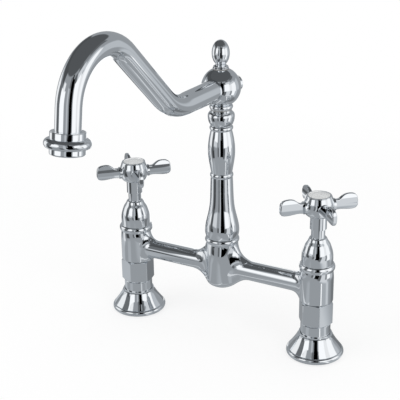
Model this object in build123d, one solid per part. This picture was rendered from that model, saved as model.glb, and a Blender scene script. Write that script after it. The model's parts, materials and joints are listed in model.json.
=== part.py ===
from build123d import *
import math
import os

# A deck-mounted bridge kitchen faucet. Millimetres, +Z up. The sink deck is the plane Z = 0 and the
# origin lies on it, midway between the two supply legs. +X is the cold side, the spout points to -Y.

os.makedirs("parts", exist_ok=True)

# ---------------------------------------------------------------- clearances
thread_gap = 0.05           # radial, between two screwed or pressed parts that don't move apart
running_gap = 0.05          # radial and axial, where one part turns in or on another
free_gap = 0.35             # radial, where a turning part only passes a fixed one

# ---------------------------------------------------------------- layout
leg_centres = 203.2
deck_thickness = 30.0

# ---------------------------------------------------------------- deck flange and its seal
flange_rim_r = 27.6
flange_rim_bead_r = 3.1
flange_bead_step = 0.6      # the rim's bead ends this far outside its own middle
flange_groove_inset = 1.9   # the bell starts this far inside the rim
flange_height = 22.8
flange_lip_r = 15.8
flange_foot_r = 19.6        # inner edge of the flat foot, and the hollow above it
flange_crown_thickness = 3.0
flange_hole_gap = 0.4
collar_recess_depth = 2.6
flange_seal_thickness = 2.0
flange_seal_width = 3.6
flange_seal_inset = 1.2

# ---------------------------------------------------------------- shank, union and deck fastening
supply_thread_r = 10.48     # G 1/2, at the shank's end
supply_thread_length = 15.0
supply_thread_chamfer = 0.5
thread_relief_r = 9.4
thread_relief_length = 2.5
deck_thread_r = 11.0        # the lock nut runs on it
shank_bore_r = 6.5
shank_tail_length = 60.0    # below the deck surface
shank_collar_r = 14.4
shank_collar_height = 12.9
union_thread_r = 13.22      # G 3/4
union_thread_length = 15.0
union_gasket_thickness = 2.0
nut_corner_round = 1.0      # the upright corners of every nut
union_nut_across_flats = 29.2
union_nut_chamfer = 2.4
union_nut_roof = 3.0
union_nut_lift = 0.8        # above the shank collar
hot_nut_turn = -83.0        # degrees, the direction of one corner
cold_nut_turn = -54.0
tail_collar_thickness = 3.0
tail_collar_inset = 0.6
tail_r = 9.8
tail_nut_gap = 0.5
tail_key_across_flats = 12.0
tail_key_depth = 4.0
deck_washer_r = 19.0
rubber_washer_thickness = 3.0
metal_washer_thickness = 1.5
lock_nut_across_flats = 32.0
lock_nut_height = 8.0
lock_nut_chamfer = 1.0

# ---------------------------------------------------------------- bridge casting
nut_to_housing_gap = 0.5
housing_r = 16.0
housing_height = 32.5
housing_edge_round = 1.4
tail_thread_depth = 6.5
seat_thickness = 2.5
seat_port_r = 5.5
chamber_r = 11.8
chamber_height = 11.0
arm_r = 9.5
arm_bore_r = 4.8
arm_rise = 14.2             # arm axis above the housing foot
arm_to_housing_fillet = 10.0
arm_to_hub_fillet = 18.5
hub_r = 16.0
hub_nose_drop = 10.0        # nose below the housing foot
hub_nose_round = 6.0
hub_nose_skim = 0.05        # its bell ends this far under the arms
hub_rise = 40.0             # hub top above the housing foot
hub_wall_below = 10.0
hub_chamber_r = 8.5
hub_chamber_top_margin = 3.5
column_register_wall = 4.0      # between the register and the hub's outside
column_register_depth = 3.0
column_gasket_thickness = 1.0

# ---------------------------------------------------------------- cartridge and stem
cartridge_thread_r = 11.2
cartridge_skirt_r = 8.8
cartridge_cavity_r = 7.5
cartridge_cavity_top_margin = 3.0   # above the chamber's roof
cartridge_flange_r = 12.3
cartridge_flange_thickness = 2.0
cartridge_hex_across_flats = 20.0
cartridge_hex_height = 6.5
cartridge_neck_r = 9.0
cartridge_neck_height = 12.0
cartridge_window_width = 8.0
cartridge_window_margin = 0.8
cartridge_ring_section_r = 0.6
cartridge_ring_drop = 1.6           # below the housing top
seat_seal_thickness = 2.0
seat_seal_bore_r = 5.6
disc_thickness = 3.0
disc_film = 0.02
disc_port_r = 2.2
disc_port_offset = 4.2
disc_slot_depth = 1.2
stem_r = 4.0
stem_tang_width = 4.0
stem_tang_length = 12.6
stem_tang_height = 4.0
stem_collar_r = 7.0
stem_collar_thickness = 1.6
stem_ring_section_r = 0.5
stem_ring_height = 15.0             # above the cavity roof

# ---------------------------------------------------------------- bonnet and stem sleeve
bonnet_bead_r = 16.95
bonnet_bead_height = 5.6
bonnet_dome_r = 14.8
bonnet_height = 32.3
bonnet_cavity_r = 12.9
bonnet_cavity_height = 11.5
bonnet_top_edge = 0.7
sleeve_r = 6.55
sleeve_bore_r = 4.8
sleeve_flange_r = 8.9
sleeve_flange_thickness = 2.0
sleeve_overlap = 3.8                # how far the sleeve reaches into the handle

# ---------------------------------------------------------------- cross handle
handle_lift = 8.6                   # handle neck above the bonnet top
handle_neck_r = 7.9
handle_neck_height = 12.4
handle_recess_extra = 0.8
handle_hub_r = 14.2
handle_hub_height = 20.2
handle_rim_r = 12.1
handle_web_thickness = 2.5
handle_web_drop = 6.4               # web top below the handle's rim
button_recess_depth = 1.7
spoke_count = 4
spoke_turn = 45.7                   # degrees from +X at rest
spoke_reach = 37.9
spoke_axis_rise = 9.4               # neck of the spoke above the hub's foot
spoke_neck_height = 10.0
spoke_neck_at = 19.0
spoke_flare = 2.0                   # how far the spoke widens towards the hub, above and below
spoke_paddle_height = 15.8
spoke_paddle_lift = 1.8
spoke_peak_inset = 8.9              # from the tip back to the paddle's highest point
spoke_heel_inset = 6.0              # from the tip back to its lowest point
spoke_tip_drop = 0.3                # tip below the paddle's middle
spoke_thickness = 4.8               # in the middle of its lens-shaped section
spoke_edge_thickness = 2.2
spoke_edge_round = 1.0
spoke_root_r = 6.0
spoke_root_length = 15.2
handle_screw_r = 2.0
handle_screw_length = 10.0
handle_screw_head_r = 4.0
handle_screw_head_height = 2.4
handle_screw_slot_width = 1.0
screw_pocket_r = 5.0
button_r = 10.1
button_gap = 0.1
button_edge = 1.9
button_crown = 2.0

# ---------------------------------------------------------------- column
column_bore_r = 8.0
column_foot_bead_proud = 0.9    # beyond the hub it stands on
column_foot_bead_height = 5.4
column_foot_bead_step = 1.4     # how far a bead stands out from its neck
column_mid_bead_step = 0.8
column_top_bead_step = 1.0
lower_column_swell = 1.3        # of the vase above its foot
lower_column_waist = 2.9        # how far the vase is drawn in at half its height
lower_column_height = 71.5
column_mid_bead_r = 11.3
column_mid_bead_height = 4.6
column_spigot_r = 9.4
column_spigot_length = 6.0
upper_column_height = 60.9
column_top_bead_z = 44.6            # centre of the upper bead above the upper column's foot
baluster_swell = 2.7                # how far each swelling stands out from the neck
column_ball_swell = 2.5
riser_r = 6.0
riser_bore_r = 4.6
riser_thread_length = 10.0
riser_collar_r = 7.9
riser_collar_height = 2.0

# ---------------------------------------------------------------- swivel post, ball hub and finial
post_thread_length = 26.4
post_socket_depth = 12.0
post_flange_r = 10.1
post_flange_thickness = 1.2
post_r = 7.5
post_height = 34.4                  # above its flange
post_top_thickness = 6.5
post_window_r = 3.2
post_window_count = 4
post_ring_section_r = 0.75
post_ring_spacing = 21.5
bearing_washer_thickness = 0.8
thrust_washer_thickness = 0.6
ball_r = 18.8
ball_rise = 20.55                   # ball centre above the hub's foot
ball_top_flat_r = 8.0
ball_chamber_r = 10.4
ball_chamber_height = 15.0
foot_ring_r = 11.2
foot_ring_height = 4.4
finial_stud_r = 3.0
finial_stud_length = 5.5
finial_shoulder_r = 3.6
finial_height = 26.6
finial_ring_r = 7.6
finial_ring_height = 1.25
finial_ring_step = 0.5              # each ring above the last is this much smaller
finial_neck_r = 4.5
finial_neck_rise = 1.4
finial_egg_r = 8.4
finial_egg_widest = 0.47            # share of the egg's height where it is widest
plug_turn = 72.0                    # degrees from +X, at the back of the ball
plug_head_r = 7.2
plug_head_thickness = 5.2
plug_seat_gap = 0.2                 # radial, between the head and its spot face
plug_key_across_flats = 4.0
plug_key_depth = 2.0
plug_thread_r = 4.5
plug_edge_round = 1.1

# ---------------------------------------------------------------- spout and outlet
tube_r = 10.15
tube_wall = 1.2
tube_start = 11.4                   # from the column axis
spout_bend_reach = 85.0             # from the column axis to the corner of the first bend
spout_bend_radius = 54.0
spout_rise_angle = 42.7
spout_crook_radius = 44.3
outlet_reach = 229.8                # from the column axis to the top of the outlet collar
outlet_rise = 20.6                  # top of the outlet collar above the ball's centre
outlet_tilt = 8.5                   # degrees off the vertical, leaning away from the column
outlet_collar_r = 13.7
outlet_collar_round = 0.5
outlet_collar_height = 12.8
outlet_bead_r = 18.1
outlet_bead_section_r = 3.75
outlet_bead_drop = 8.9
outlet_socket_depth = 5.0
outlet_bore_r = 8.5
aerator_thread_r = 11.0
aerator_thread_length = 4.3
aerator_gasket_thickness = 1.5
aerator_skirt_height = 4.7
aerator_skirt_round = 1.3
aerator_insert_r = 9.6
aerator_lip_r = 8.8
aerator_lip_thickness = 0.8
screen_hole_r = 0.55
screen_pitch = 1.7
screen_thickness = 1.0


# ---------------------------------------------------------------- shared shapes
stand = (Align.CENTER, Align.CENTER, Align.MIN)
quarter_pull = 4 / 3 * (math.sqrt(2) - 1)   # a Bezier curve with this pull follows a quarter ellipse


def turned(*edges):
    """One solid of revolution about Z from edges drawn as (radius, height)."""
    return revolve(Plane.YZ * make_face(list(edges)), Axis.Z)


def run(*points):
    return Polyline(*points)


def rod(radius, low, high):
    return Pos(0, 0, low) * Cylinder(radius, high - low, align=stand)


def ring(outer, inner, low, high):
    return rod(outer, low, high) - rod(inner, low - 1, high + 1)


def o_ring(middle_r, section_r, height):
    return Pos(0, 0, height) * Torus(middle_r, section_r)


def hexagon(across_flats, low, high, turn=0.0, corner_round=0.0):
    outline = RegularPolygon(across_flats / 2, 6, major_radius=False)
    if corner_round:
        outline = fillet(outline.vertices(), corner_round)
    return Pos(0, 0, low) * Rot(0, 0, turn) * extrude(outline, high - low)


def hexagon_nut(across_flats, low, high, chamfer_size, turn=0.0):
    """A hexagon cut at both ends by the usual cone, so its corners are rounded down."""
    corner_r = across_flats / math.sqrt(3)
    cone = turned(
        run((0, low), (corner_r - chamfer_size, low), (corner_r, low + chamfer_size / 2),
            (corner_r, high - chamfer_size / 2), (corner_r - chamfer_size, high), (0, high), (0, low)))
    return hexagon(across_flats, low, high, turn, nut_corner_round) & cone


def save(name, shape):
    solids = shape.solids()
    whole = solids[0] if len(solids) == 1 else Compound(children=list(solids))
    export_step(whole, f"parts/{name}.step")


# ---------------------------------------------------------------- heights of one leg, from the deck up
shank_seat = flange_height - collar_recess_depth
shank_collar_top = shank_seat + shank_collar_height
shank_top = shank_collar_top + union_thread_length
tail_foot = shank_top + union_gasket_thickness
nut_ceiling = tail_foot + tail_collar_thickness
nut_top = nut_ceiling + union_nut_roof
housing_foot = nut_top + nut_to_housing_gap
tail_top = housing_foot + tail_thread_depth
seat_face = tail_top + seat_thickness
chamber_top = seat_face + chamber_height
housing_top = housing_foot + housing_height
arm_axis = housing_foot + arm_rise
leg_x = leg_centres / 2

cartridge_foot = seat_face + seat_seal_thickness
disc_joint = cartridge_foot + disc_thickness
moving_disc_foot = disc_joint + disc_film
moving_disc_top = moving_disc_foot + disc_thickness
cavity_roof = chamber_top + cartridge_cavity_top_margin
hex_foot = housing_top + cartridge_flange_thickness
neck_foot = hex_foot + cartridge_hex_height
neck_top = neck_foot + cartridge_neck_height
bonnet_top = housing_top + bonnet_height
sleeve_seat = neck_top + sleeve_flange_thickness
handle_foot = bonnet_top + handle_lift
sleeve_top = handle_foot + sleeve_overlap
handle_hub_foot = handle_foot + handle_neck_height
handle_rim = handle_hub_foot + handle_hub_height
web_top = handle_rim - handle_web_drop
stem_top = web_top - handle_web_thickness
button_seat = handle_rim - button_recess_depth

# ---------------------------------------------------------------- heights of the column
hub_top = housing_foot + hub_rise
column_register_r = hub_r - column_register_wall
column_foot_bead_r = hub_r + column_foot_bead_proud
column_split = hub_top + lower_column_height
column_top = column_split + upper_column_height
register_floor = hub_top - column_register_depth
riser_foot = register_floor - riser_thread_length
post_foot = column_top - post_thread_length
riser_top = post_foot + post_socket_depth
post_flange_top = column_top + post_flange_thickness
post_top = post_flange_top + post_height
hub_foot = post_flange_top + bearing_washer_thickness + running_gap
ball_z = hub_foot + ball_rise
ball_flat_z = ball_z + math.sqrt(ball_r ** 2 - ball_top_flat_r ** 2)
finial_foot = ball_flat_z + running_gap + thrust_washer_thickness


# ---------------------------------------------------------------- bridge casting
def bridge_body():
    below = housing_foot - 2 * arm_to_housing_fillet
    above = housing_top + 2 * arm_to_housing_fillet
    nose = housing_foot - hub_nose_drop
    hub_over = hub_top + 2 * arm_to_hub_fillet
    hub_under = nose - 2 * arm_to_hub_fillet
    body = rod(hub_r, hub_under, hub_over)
    arm_start = Plane(origin=(-leg_x, 0, arm_axis), z_dir=(1, 0, 0))
    body += Part() + Solid.make_cylinder(arm_r, leg_centres, arm_start)
    hub_edges = [e for e in body.edges() if crosses_arm(e, hub_r)]
    body = body.fillet(arm_to_hub_fillet, hub_edges)
    body -= rod(hub_r + 2 * arm_to_hub_fillet, hub_top, hub_over + 1)
    body -= below_nose(nose, hub_under - 1)
    creases = [e for e in body.edges() if nose < e.center().Z < arm_axis and e.length > arm_r / 2]
    body = body.fillet(hub_nose_round, [e for e in creases if abs(e.center().X) < hub_r + arm_r])
    for side in (-1, 1):
        body += Pos(side * leg_x, 0, 0) * rod(housing_r, below, above)
        leg_edges = [e for e in body.edges() if crosses_arm(e, leg_x - housing_r, side)]
        body = body.fillet(arm_to_housing_fillet, leg_edges)
    for side in (-1, 1):
        trim = housing_r + 2 * arm_to_housing_fillet
        for low, high in ((below - 1, housing_foot), (housing_top, above + 1)):
            body -= Pos(side * leg_x, 0, 0) * rod(trim, low, high)
    rims = [e for e in body.edges() if abs(e.center().Z - housing_foot) < 0.01]
    body = body.fillet(housing_edge_round, [e for e in rims if abs(e.center().X) > hub_r + arm_r])
    for side in (-1, 1):
        body -= Pos(side * leg_x, 0, 0) * leg_cavity()
    body -= Solid.make_cylinder(arm_bore_r, leg_centres, arm_start)
    chamber_low = nose + hub_wall_below
    body -= rod(hub_chamber_r, chamber_low, riser_foot - hub_chamber_top_margin)
    body -= rod(riser_r + thread_gap, chamber_low, hub_top)
    return body - rod(column_register_r + thread_gap, register_floor, hub_top + 1)


def below_nose(nose, floor):
    """All that lies under the hub's bell-shaped nose, which swings out level into the arms."""
    reach = hub_r + arm_to_hub_fillet
    low = arm_axis - arm_r - hub_nose_skim
    drop = low - nose
    bell = Spline(
        (0, nose), (0.2 * reach, nose + 0.12 * drop), (0.4 * reach, nose + 0.38 * drop),
        (0.58 * reach, nose + 0.71 * drop), (0.75 * reach, nose + 0.93 * drop), (reach, low),
        tangents=[(1, 0), (1, 0)])
    wide = reach + arm_to_hub_fillet
    return turned(run((0, floor), (0, nose)), bell, run((reach, low), (wide, low), (wide, floor), (0, floor)))


def crosses_arm(edge, distance, side=0):
    """True for the closed curves where an arm runs into an upright round body."""
    box = edge.bounding_box()
    middle = box.center()
    beside = abs(abs(middle.X) - distance) < arm_r / 2
    right_side = side == 0 or middle.X * side > 0
    return beside and right_side and box.size.Z > arm_r / 2 and box.size.X < arm_r


def leg_cavity():
    cavity = rod(tail_r + thread_gap, housing_foot - 1, tail_top)
    cavity += rod(seat_port_r, tail_top - 1, seat_face + 1)
    cavity += rod(chamber_r, seat_face, chamber_top)
    return cavity + rod(cartridge_thread_r, chamber_top - 1, housing_top + 1)


# ---------------------------------------------------------------- column and riser
def bead(radius, neck, low, high):
    """The outline of a half-round bead between two heights, standing on a neck."""
    return ThreePointArc((neck, low), (radius, (low + high) / 2), (neck, high))


def lower_column():
    neck = column_foot_bead_r - column_foot_bead_step
    top_neck = column_mid_bead_r - column_mid_bead_step
    bead_top = hub_top + column_foot_bead_height
    mid_bead_low = column_split - column_mid_bead_height
    tall = mid_bead_low - bead_top
    belly = Spline(
        (neck, bead_top), (neck + lower_column_swell, bead_top + 0.14 * tall),
        (neck - 0.14 * lower_column_waist, bead_top + 0.3 * tall),
        (neck - lower_column_waist, bead_top + 0.48 * tall), (top_neck + 0.9, bead_top + 0.7 * tall),
        (top_neck + 0.2, mid_bead_low))
    spigot = hub_top - column_register_depth + column_gasket_thickness
    outline = [
        run((column_bore_r, spigot), (column_register_r, spigot), (column_register_r, hub_top),
            (neck, hub_top)),
        bead(column_foot_bead_r, neck, hub_top, bead_top),
        belly,
        run((top_neck + 0.2, mid_bead_low), (top_neck, mid_bead_low)),
        bead(column_mid_bead_r, top_neck, mid_bead_low, column_split),
        run((top_neck, column_split), (column_bore_r, column_split), (column_bore_r, spigot))]
    socket = rod(column_spigot_r + thread_gap, column_split - column_spigot_length, column_split + 1)
    return turned(*outline) - socket


def upper_column():
    neck = column_mid_bead_r - column_top_bead_step
    foot = column_split
    bead_z = foot + column_top_bead_z
    bead_low = bead_z - column_mid_bead_height / 2
    bead_high = bead_z + column_mid_bead_height / 2
    tall = bead_low - foot
    baluster = Spline(
        (neck, foot), (neck + 0.43 * baluster_swell, foot + 0.165 * tall),
        (neck + 0.97 * baluster_swell, foot + 0.414 * tall), (neck + baluster_swell, foot + 0.59 * tall),
        (neck + 0.6 * baluster_swell, foot + 0.816 * tall), (neck - 0.1, bead_low))
    ball_high = column_top - 0.6
    tall = ball_high - bead_high
    ball = Spline(
        (neck - 0.1, bead_high), (neck + 0.75 * column_ball_swell, bead_high + 0.31 * tall),
        (neck + column_ball_swell, bead_high + 0.6 * tall),
        (neck + 0.82 * column_ball_swell, bead_high + 0.87 * tall), (neck, ball_high))
    spigot = foot - column_spigot_length
    outline = [
        run((column_bore_r, spigot), (column_spigot_r, spigot), (column_spigot_r, foot), (neck, foot)),
        baluster,
        bead(column_mid_bead_r, neck - 0.1, bead_low, bead_high),
        ball,
        run((neck, ball_high), (neck, column_top), (column_bore_r, column_top), (column_bore_r, spigot))]
    return turned(*outline)


def riser_tube():
    tube = rod(riser_r, riser_foot, riser_top)
    tube += rod(riser_collar_r, register_floor, register_floor + riser_collar_height)
    return tube - rod(riser_bore_r, riser_foot - 1, riser_top + 1)


def column_gasket():
    return ring(column_register_r - thread_gap, column_bore_r + free_gap, register_floor,
                register_floor + column_gasket_thickness)


# ---------------------------------------------------------------- swivel
def post_ring_heights():
    middle = ball_z
    return (middle - post_ring_spacing / 2, middle + post_ring_spacing / 2 - 1.0)


def swivel_post():
    post = rod(column_bore_r - thread_gap, post_foot, column_top)
    post += rod(post_flange_r, column_top, post_flange_top)
    post += rod(post_r, post_flange_top, post_top)
    post -= rod(riser_r + thread_gap, post_foot - 1, riser_top)
    post -= rod(riser_bore_r, riser_top - 1, post_top - post_top_thickness)
    post -= rod(finial_stud_r + thread_gap, post_top - post_top_thickness - 1, post_top + 1)
    for height in post_ring_heights():
        half = 1.2 * post_ring_section_r
        post -= ring(post_r + 1, post_r - 2 * post_ring_section_r, height - half, height + half)
    for index in range(post_window_count):
        turn = 360 / post_window_count * index - 90
        post -= Pos(0, 0, ball_z) * Rot(0, 90, turn) * rod(post_window_r, 0, post_r + 1)
    return post


def swivel_o_rings():
    middle_r = post_r - post_ring_section_r
    rings = [o_ring(middle_r, post_ring_section_r, height) for height in post_ring_heights()]
    return Compound(children=rings)


def bearing_washer():
    return ring(post_flange_r - 0.1, post_r + thread_gap, post_flange_top,
                post_flange_top + bearing_washer_thickness)


def thrust_washer():
    return ring(finial_ring_r - 0.1, finial_shoulder_r + thread_gap, finial_foot - thrust_washer_thickness,
                finial_foot)


def finial():
    lower_ring_top = finial_foot + finial_ring_height
    upper_ring_top = lower_ring_top + finial_ring_height
    lower_neck = finial_ring_r - finial_ring_step
    upper_neck = lower_neck - finial_ring_step
    neck_z = upper_ring_top + finial_neck_rise
    top = finial_foot + finial_height
    widest = neck_z + finial_egg_widest * (top - neck_z)
    body = turned(
        run((0, finial_foot), (lower_neck, finial_foot)),
        bead(finial_ring_r, lower_neck, finial_foot, lower_ring_top),
        run((lower_neck, lower_ring_top), (upper_neck, lower_ring_top)),
        bead(lower_neck, upper_neck, lower_ring_top, upper_ring_top),
        run((upper_neck, upper_ring_top), (finial_neck_r, neck_z)),
        Bezier((finial_neck_r, neck_z), (0.8 * finial_egg_r, neck_z + 0.2 * (widest - neck_z)),
               (finial_egg_r, neck_z + 0.5 * (widest - neck_z)), (finial_egg_r, widest)),
        Bezier((finial_egg_r, widest), (finial_egg_r, widest + quarter_pull * (top - widest)),
               (quarter_pull * finial_egg_r, top), (0, top)),
        run((0, top), (0, finial_foot)))
    body += rod(finial_shoulder_r, post_top, finial_foot)
    return body + rod(finial_stud_r, post_top - finial_stud_length, post_top)


# ---------------------------------------------------------------- ball hub of the spout
def plug_place():
    return Pos(0, 0, ball_z) * Rot(0, 0, plug_turn) * Rot(0, 90, 0)


def plug_seat_distance():
    return math.sqrt(ball_r ** 2 - (plug_head_r + plug_seat_gap) ** 2)


def spout_hub():
    foot_top = hub_foot + foot_ring_height
    neck = foot_ring_r - 0.9
    foot = turned(
        run((0, hub_foot), (neck, hub_foot)),
        bead(foot_ring_r, neck, hub_foot, foot_top),
        run((neck, foot_top), (0, foot_top), (0, hub_foot)))
    hub = Pos(0, 0, ball_z) * Sphere(ball_r) + foot
    hub -= rod(ball_r, ball_flat_z, ball_z + ball_r + 1)
    hub -= rod(post_r + running_gap, hub_foot - 1, post_top + free_gap)
    hub -= rod(finial_shoulder_r + running_gap, post_top, ball_flat_z + 1)
    hub -= rod(ball_chamber_r, ball_z - ball_chamber_height / 2, ball_z + ball_chamber_height / 2)
    seat = plug_seat_distance()
    hub -= plug_place() * rod(plug_head_r + plug_seat_gap, seat, ball_r + 1)
    hub -= plug_place() * rod(plug_thread_r + thread_gap, 0, ball_r)
    socket = Pos(0, 0, ball_z) * Rot(90, 0, 0)
    return hub - socket * rod(tube_r + thread_gap, tube_start, ball_r + 1)


def rear_plug():
    seat = plug_seat_distance()
    face = seat + plug_head_thickness
    edge = face - plug_edge_round
    plug = turned(
        run((0, seat), (plug_head_r, seat), (plug_head_r, edge)),
        RadiusArc((plug_head_r, edge), (plug_head_r - plug_edge_round, face), plug_edge_round),
        run((plug_head_r - plug_edge_round, face), (0, face), (0, seat)))
    plug += rod(plug_thread_r, ball_chamber_r + 1, seat)
    plug -= hexagon(plug_key_across_flats, face - plug_key_depth, face + 1)
    return plug_place() * plug


# ---------------------------------------------------------------- spout tube and outlet
def outlet_point(distance):
    """A point on the outlet's axis, this far below the top of the outlet collar."""
    tilt = math.radians(outlet_tilt)
    return (0, -outlet_reach - distance * math.sin(tilt), ball_z + outlet_rise - distance * math.cos(tilt))


def spout_corner():
    """Where the rising straight and the outlet's axis would meet, above the crook."""
    slope = math.tan(math.radians(spout_rise_angle))
    lean = math.tan(math.radians(outlet_tilt))
    base_y, base_z = outlet_point(0)[1:]
    height = (ball_z + slope * (-spout_bend_reach - base_y + lean * base_z)) / (1 + slope * lean)
    return (0, base_y + lean * (height - base_z), height)


def spout_tube():
    path = FilletPolyline(
        (0, -tube_start, ball_z), (0, -spout_bend_reach, ball_z), spout_corner(),
        outlet_point(outlet_socket_depth), radius=[spout_bend_radius, spout_crook_radius])
    section = Plane(origin=path @ 0, z_dir=path % 0) * (Circle(tube_r) - Circle(tube_r - tube_wall))
    return sweep(section, path)


def outlet_place():
    return Pos(*outlet_point(0)) * Rot(-outlet_tilt, 0, 0)


def spout_collar():
    bead_middle_r = outlet_bead_r - outlet_bead_section_r
    rim = outlet_collar_r - outlet_collar_round
    collar = turned(
        run((0, -outlet_collar_height), (outlet_collar_r, -outlet_collar_height),
            (outlet_collar_r, -outlet_collar_round)),
        RadiusArc((outlet_collar_r, -outlet_collar_round), (rim, 0), outlet_collar_round),
        run((rim, 0), (0, 0), (0, -outlet_collar_height)))
    collar += Pos(0, 0, -outlet_bead_drop) * Torus(bead_middle_r, outlet_bead_section_r)
    thread_roof = aerator_seat() + aerator_gasket_thickness
    collar -= rod(tube_r + thread_gap, -outlet_socket_depth, 1)
    collar -= rod(outlet_bore_r, thread_roof - 1, 0)
    return collar - rod(aerator_thread_r, -outlet_collar_height - 1, thread_roof)


def aerator_seat():
    """Height of the aerator's top inside the collar."""
    return aerator_thread_length - outlet_collar_height


def aerator_gasket():
    seat = aerator_seat()
    return ring(aerator_thread_r - thread_gap, outlet_bore_r, seat, seat + aerator_gasket_thickness)


def aerator_housing():
    foot = -outlet_collar_height - aerator_skirt_height
    round_z = foot + aerator_skirt_round
    flat_r = outlet_collar_r - aerator_skirt_round
    body = turned(
        run((0, -outlet_collar_height), (0, foot), (flat_r, foot)),
        RadiusArc((flat_r, foot), (outlet_collar_r, round_z), -aerator_skirt_round),
        run((outlet_collar_r, round_z), (outlet_collar_r, -outlet_collar_height), (0, -outlet_collar_height)))
    body += rod(aerator_thread_r - thread_gap, -outlet_collar_height, aerator_seat())
    body -= rod(aerator_insert_r + thread_gap, foot + aerator_lip_thickness, aerator_seat() + 1)
    return body - rod(aerator_lip_r, foot - 1, 0)


def aerator_insert():
    foot = -outlet_collar_height - aerator_skirt_height + aerator_lip_thickness
    top = aerator_seat()
    body = ring(aerator_insert_r, aerator_insert_r - 1.2, foot, top)
    screen = rod(aerator_insert_r - 0.6, foot, foot + screen_thickness)
    rows = int((aerator_lip_r - screen_pitch) / screen_pitch)
    spots = []
    for row in range(-rows, rows + 1):
        for column in range(-rows, rows + 1):
            spot = (row * screen_pitch, column * screen_pitch)
            if math.hypot(*spot) < aerator_lip_r - screen_pitch / 2:
                spots.append(spot)
    holes = Sketch() + [Pos(x, y) * Circle(screen_hole_r) for x, y in spots]
    screen -= Pos(0, 0, foot - 1) * extrude(holes, screen_thickness + 2)
    return body + screen


# ---------------------------------------------------------------- one leg, drawn on the Z axis
def deck_flange():
    bead_z = flange_rim_bead_r
    rim = flange_rim_r - flange_rim_bead_r
    bead_rise = math.sqrt(flange_rim_bead_r ** 2 - flange_bead_step ** 2)
    bead_end = (rim + flange_bead_step, bead_z + bead_rise)
    groove = (flange_rim_r - flange_groove_inset, 2 * bead_z + 0.3)
    shoulder = flange_height - 1.6
    drawn_in = flange_rim_r - flange_lip_r
    bell = Spline(
        groove, (flange_rim_r - 0.45 * drawn_in, 0.49 * flange_height),
        (flange_rim_r - 0.73 * drawn_in, 0.71 * flange_height), (flange_lip_r + 0.8, shoulder))
    flange = turned(
        run((0, 0), (rim, 0)),
        ThreePointArc((rim, 0), (flange_rim_r, bead_z), bead_end),
        run(bead_end, groove),
        bell,
        run((flange_lip_r + 0.8, shoulder), (flange_lip_r, shoulder + 0.3), (flange_lip_r, flange_height),
            (0, flange_height), (0, 0)))
    ceiling = shank_seat - flange_crown_thickness
    waist = ceiling - 6
    flange -= turned(
        run((0, -1), (flange_foot_r, -1), (flange_foot_r, waist - 2), (flange_foot_r - 6, ceiling),
            (0, ceiling), (0, -1)))
    flange -= rod(deck_thread_r + flange_hole_gap, 0, flange_height)
    flange -= rod(shank_collar_r + free_gap, shank_seat, flange_height + 1)
    groove_r = flange_foot_r + flange_seal_inset
    return flange - ring(groove_r + flange_seal_width, groove_r, -1, flange_seal_thickness)


def flange_seal():
    inner = flange_foot_r + flange_seal_inset
    return ring(inner + flange_seal_width, inner, 0, flange_seal_thickness)


def shank():
    relief_low = supply_thread_length - shank_tail_length
    relief_high = relief_low + thread_relief_length
    body = rod(supply_thread_r, -shank_tail_length, relief_low)
    body += rod(thread_relief_r, relief_low, relief_high)
    body += rod(deck_thread_r, relief_high, shank_seat)
    body += rod(shank_collar_r, shank_seat, shank_collar_top)
    body += rod(union_thread_r, shank_collar_top, shank_top)
    body -= rod(shank_bore_r, -shank_tail_length - 1, shank_top + 1)
    rims = [e for e in body.edges() if e.geom_type == GeomType.CIRCLE and e.radius > shank_bore_r + 1]
    tail_end = [e for e in rims if abs(e.center().Z + shank_tail_length) < 0.01]
    return body.chamfer(supply_thread_chamfer, None, tail_end)


def union_nut(turn):
    foot = shank_collar_top + union_nut_lift
    nut = hexagon_nut(union_nut_across_flats, foot, nut_top, union_nut_chamfer, turn)
    nut -= rod(union_thread_r + thread_gap, foot - 1, nut_ceiling)
    return nut - rod(tail_r + tail_nut_gap, nut_ceiling - 1, nut_top + 1)


def union_gasket():
    return ring(union_thread_r - tail_collar_inset, shank_bore_r, shank_top, tail_foot)


def union_tail():
    body = rod(union_thread_r - tail_collar_inset, tail_foot, nut_ceiling)
    body += rod(tail_r, nut_ceiling, tail_top)
    body -= rod(seat_port_r, tail_foot - 1, tail_top + 1)
    return body - hexagon(tail_key_across_flats, tail_foot - 1, tail_foot + tail_key_depth)


def rubber_washer():
    return ring(deck_washer_r, deck_thread_r + thread_gap, -deck_thickness - rubber_washer_thickness,
                -deck_thickness)


def metal_washer():
    high = -deck_thickness - rubber_washer_thickness
    return ring(deck_washer_r, deck_thread_r + thread_gap, high - metal_washer_thickness, high)


def lock_nut():
    high = -deck_thickness - rubber_washer_thickness - metal_washer_thickness
    nut = hexagon_nut(lock_nut_across_flats, high - lock_nut_height, high, lock_nut_chamfer)
    return nut - rod(deck_thread_r + thread_gap, high - lock_nut_height - 1, high + 1)


def cartridge_body():
    body = rod(cartridge_skirt_r, cartridge_foot, chamber_top)
    body += rod(cartridge_thread_r - thread_gap, chamber_top, housing_top)
    body += rod(cartridge_flange_r, housing_top, hex_foot)
    body += hexagon(cartridge_hex_across_flats, hex_foot, neck_foot)
    body += rod(cartridge_neck_r, neck_foot, neck_top)
    body -= rod(cartridge_cavity_r, cartridge_foot - 1, cavity_roof)
    body -= rod(stem_r + running_gap, cavity_roof - 1, neck_top + 1)
    window_low = disc_joint + cartridge_window_margin
    window_height = chamber_top - cartridge_window_margin - window_low
    window = Box(4 * cartridge_skirt_r, cartridge_window_width, window_height, align=stand)
    body -= Pos(0, 0, window_low) * window
    ring_z = housing_top - cartridge_ring_drop
    half = 1.3 * cartridge_ring_section_r
    inner = cartridge_thread_r - thread_gap - 2 * cartridge_ring_section_r
    return body - ring(cartridge_thread_r + 1, inner, ring_z - half, ring_z + half)


def cartridge_o_ring():
    middle_r = cartridge_thread_r - thread_gap - cartridge_ring_section_r
    return o_ring(middle_r, cartridge_ring_section_r, housing_top - cartridge_ring_drop)


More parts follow.
